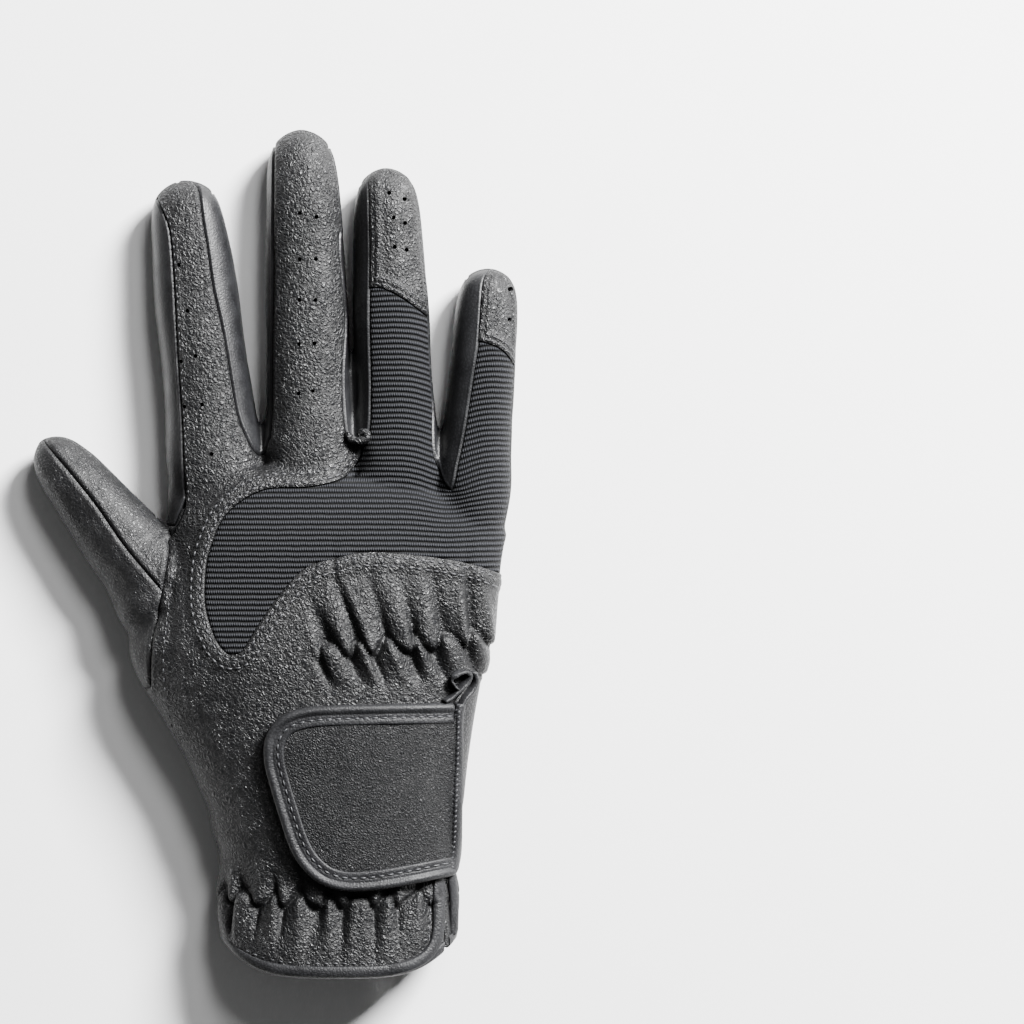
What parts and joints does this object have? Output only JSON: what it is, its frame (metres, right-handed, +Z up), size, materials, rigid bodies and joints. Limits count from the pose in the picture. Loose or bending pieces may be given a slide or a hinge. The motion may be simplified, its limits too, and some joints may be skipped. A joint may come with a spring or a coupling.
{
  "type": "riding glove",
  "caption": "Right-hand riding glove of thin leather with a ribbed stretch inset, a wrist tab and bound edges, lying palm down, open at the wrist.",
  "frame": {"origin": "centre of the palm, on the flat underside that the glove rests on", "axes": "+Y along the hand from wrist to fingertips, +Z up out of the back of the hand, -X towards the thumb"},
  "size_m": [0.1335, 0.2324, 0.0311],
  "materials": {
    "grain_leather": "fine grain, soft sheen",
    "smooth_leather": "smooth, matte",
    "ribbed_fabric": "ribbed stretch knit, matte",
    "binding_tape": "folded tape, slight sheen"
  },
  "bodies": {
    "root": {"back_leather": "grain_leather", "palm_leather": "grain_leather", "thumb_front": "grain_leather", "thumb_back": "grain_leather", "ring_tip": "grain_leather", "little_tip": "grain_leather", "closure_tab": "grain_leather", "index_side": "smooth_leather", "fourchette_index_middle": "smooth_leather", "fourchette_middle_ring": "smooth_leather", "fourchette_ring_little": "smooth_leather", "stretch_panel": "ribbed_fabric", "tab_binding": "binding_tape", "vent_binding": "binding_tape", "hem_binding": "binding_tape"}
  },
  "joints": []
}
